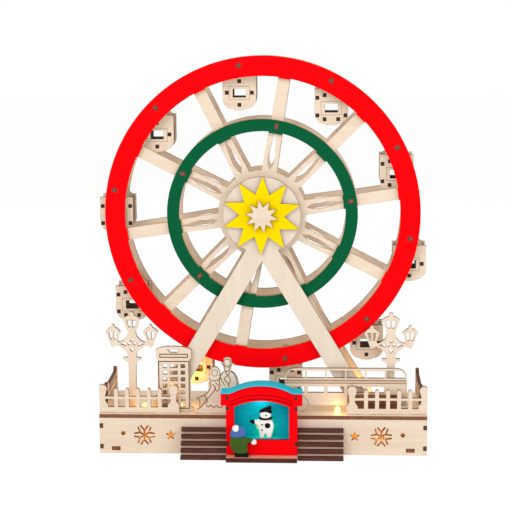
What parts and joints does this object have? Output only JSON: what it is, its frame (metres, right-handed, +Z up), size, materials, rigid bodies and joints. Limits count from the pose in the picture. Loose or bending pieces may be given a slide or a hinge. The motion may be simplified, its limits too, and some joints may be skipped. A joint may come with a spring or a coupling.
{
  "type": "ferris wheel decoration",
  "caption": "Tabletop plywood ferris wheel with hanging cabins on two A-frames, standing on a lit base with fences, street lamps, a phone box, a bus outline, a kiosk and steps.",
  "frame": {"origin": "under the middle of the whole outline, on the surface that the base stands on", "axes": "+Z up, the front faces -Y, +X to the right as seen from the front; the wheel turns about a line along Y"},
  "size_m": [0.29, 0.1024, 0.3494],
  "materials": {
    "birch_plywood": "pale bare birch plywood with laser-browned edges",
    "black_plastic": "moulded black plastic",
    "burnt_plywood": "plywood stained and burnt dark brown",
    "cyan_paint": "plywood painted cyan, satin",
    "enamelled_copper": "thin insulated lead",
    "green_coat_paint": "plywood painted in several plain colours",
    "green_paint": "plywood painted dark green, satin",
    "plated_steel": "plain metal cell cans",
    "red_paint": "plywood painted bright red, satin",
    "teal_paint": "plywood painted teal, satin",
    "turned_beech": "turned hardwood rod",
    "warm_light": "clear lens, lit warm yellow",
    "white_paint": "plywood painted white with plain coloured trims",
    "yellow_paint": "plywood painted bright yellow, satin"
  },
  "bodies": {
    "base": {"back_panel": "birch_plywood", "battery_box": "black_plastic", "battery_cell_1": "plated_steel", "battery_cell_2": "plated_steel", "bottom_board": "birch_plywood", "child_figure": "green_coat_paint", "couple_figures": "birch_plywood", "deck": "birch_plywood", "frame_front": "birch_plywood", "frame_rear": "birch_plywood", "front_fence_left": "birch_plywood", "front_fence_right": "birch_plywood", "front_panel": "birch_plywood", "kiosk_back": "teal_paint", "kiosk_counter": "teal_paint", "kiosk_floor": "burnt_plywood", "kiosk_front": "red_paint", "kiosk_roof": "cyan_paint", "kiosk_wall_left": "red_paint", "kiosk_wall_right": "red_paint", "lamp_post_left": "birch_plywood", "lamp_post_right": "birch_plywood", "lead_kiosk": "enamelled_copper", "lead_left": "enamelled_copper", "lead_right": "enamelled_copper", "led_deck_left": "warm_light", "led_deck_phone": "warm_light", "led_deck_rear": "warm_light", "led_deck_right": "warm_light", "led_kiosk": "warm_light", "led_panel_left": "warm_light", "led_panel_right": "warm_light", "left_panel": "birch_plywood", "phone_box": "birch_plywood", "right_panel": "birch_plywood", "side_fence_left": "birch_plywood", "side_fence_right": "birch_plywood", "snowman": "white_paint", "steps_left": "burnt_plywood", "steps_right": "burnt_plywood", "sun_star": "yellow_paint", "tour_bus": "birch_plywood"},
    "wheel": {"axle": "turned_beech", "wheel_front": "birch_plywood", "wheel_rear": "birch_plywood", "rim_red": "red_paint", "ring_green": "green_paint", "hub_star": "birch_plywood"},
    "cabin_01_body": {"cabin_01": "birch_plywood"},
    "cabin_02_body": {"cabin_02": "birch_plywood"},
    "cabin_03_body": {"cabin_03": "birch_plywood"},
    "cabin_04_body": {"cabin_04": "birch_plywood"},
    "cabin_05_body": {"cabin_05": "birch_plywood"},
    "cabin_06_body": {"cabin_06": "birch_plywood"},
    "cabin_07_body": {"cabin_07": "birch_plywood"},
    "cabin_08_body": {"cabin_08": "birch_plywood"},
    "cabin_09_body": {"cabin_09": "birch_plywood"},
    "cabin_10_body": {"cabin_10": "birch_plywood"},
    "lid": {"battery_lid": "black_plastic"},
    "switch": {"switch_knob": "black_plastic"}
  },
  "joints": [
    {"name": "wheel_spin", "type": "hinge", "parent": "base", "child": "wheel", "pos_m": [0, 0.01415, 0.212], "axis": [0, 1, 0], "continuous": true},
    {"name": "cabin_01_swing", "type": "hinge", "parent": "wheel", "child": "cabin_01_body", "pos_m": [0.11713, 0.0141, 0.27066], "axis": [0, 1, 0], "continuous": true},
    {"name": "cabin_02_swing", "type": "hinge", "parent": "wheel", "child": "cabin_02_body", "pos_m": [0.06029, 0.0141, 0.3283], "axis": [0, 1, 0], "continuous": true},
    {"name": "cabin_03_swing", "type": "hinge", "parent": "wheel", "child": "cabin_03_body", "pos_m": [-0.01959, 0.0141, 0.34153], "axis": [0, 1, 0], "continuous": true},
    {"name": "cabin_04_swing", "type": "hinge", "parent": "wheel", "child": "cabin_04_body", "pos_m": [-0.09198, 0.0141, 0.30528], "axis": [0, 1, 0], "continuous": true},
    {"name": "cabin_05_swing", "type": "hinge", "parent": "wheel", "child": "cabin_05_body", "pos_m": [-0.12924, 0.0141, 0.2334], "axis": [0, 1, 0], "continuous": true},
    {"name": "cabin_06_swing", "type": "hinge", "parent": "wheel", "child": "cabin_06_body", "pos_m": [-0.11713, 0.0141, 0.15334], "axis": [0, 1, 0], "continuous": true},
    {"name": "cabin_07_swing", "type": "hinge", "parent": "wheel", "child": "cabin_07_body", "pos_m": [-0.06029, 0.0141, 0.0957], "axis": [0, 1, 0], "continuous": true},
    {"name": "cabin_08_swing", "type": "hinge", "parent": "wheel", "child": "cabin_08_body", "pos_m": [0.01959, 0.0141, 0.08247], "axis": [0, 1, 0], "continuous": true},
    {"name": "cabin_09_swing", "type": "hinge", "parent": "wheel", "child": "cabin_09_body", "pos_m": [0.09198, 0.0141, 0.11872], "axis": [0, 1, 0], "continuous": true},
    {"name": "cabin_10_swing", "type": "hinge", "parent": "wheel", "child": "cabin_10_body", "pos_m": [0.12924, 0.0141, 0.1906], "axis": [0, 1, 0], "continuous": true},
    {"name": "lid_slide", "type": "slide", "parent": "base", "child": "lid", "axis": [-1, 0, 0], "range_m": [0, 0.05]},
    {"name": "switch_slide", "type": "slide", "parent": "base", "child": "switch", "axis": [0, 1, 0], "range_m": [0, 0.004]}
  ],
  "couplings": [
    {"joint": "cabin_01_swing", "follows": "wheel_spin", "ratio": -1},
    {"joint": "cabin_02_swing", "follows": "wheel_spin", "ratio": -1},
    {"joint": "cabin_03_swing", "follows": "wheel_spin", "ratio": -1},
    {"joint": "cabin_04_swing", "follows": "wheel_spin", "ratio": -1},
    {"joint": "cabin_05_swing", "follows": "wheel_spin", "ratio": -1},
    {"joint": "cabin_06_swing", "follows": "wheel_spin", "ratio": -1},
    {"joint": "cabin_07_swing", "follows": "wheel_spin", "ratio": -1},
    {"joint": "cabin_08_swing", "follows": "wheel_spin", "ratio": -1},
    {"joint": "cabin_09_swing", "follows": "wheel_spin", "ratio": -1},
    {"joint": "cabin_10_swing", "follows": "wheel_spin", "ratio": -1}
  ]
}
